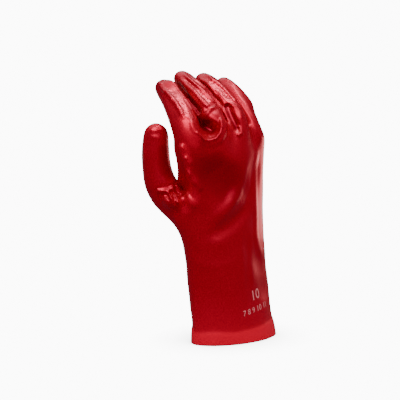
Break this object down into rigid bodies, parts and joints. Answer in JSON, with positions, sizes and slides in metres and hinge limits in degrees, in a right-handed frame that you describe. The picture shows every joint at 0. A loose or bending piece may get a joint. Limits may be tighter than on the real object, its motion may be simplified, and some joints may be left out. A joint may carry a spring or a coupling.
{
  "type": "chemical-resistant gauntlet glove",
  "caption": "Glossy red dipped gauntlet glove with a long cuff, curled fingers and a free-standing thumb, standing on its cut cuff edge.",
  "frame": {"origin": "middle of the cuff's mouth, on the plane of its cut edge, which the glove stands on", "axes": "+Z from the cuff towards the fingers, +Y towards the palm side, +X towards the little finger"},
  "size_m": [0.15, 0.1167, 0.3181],
  "materials": {
    "red_coating": "glossy, smooth dipped coating"
  },
  "bodies": {
    "root": {"glove_shell": "red_coating"}
  },
  "joints": []
}
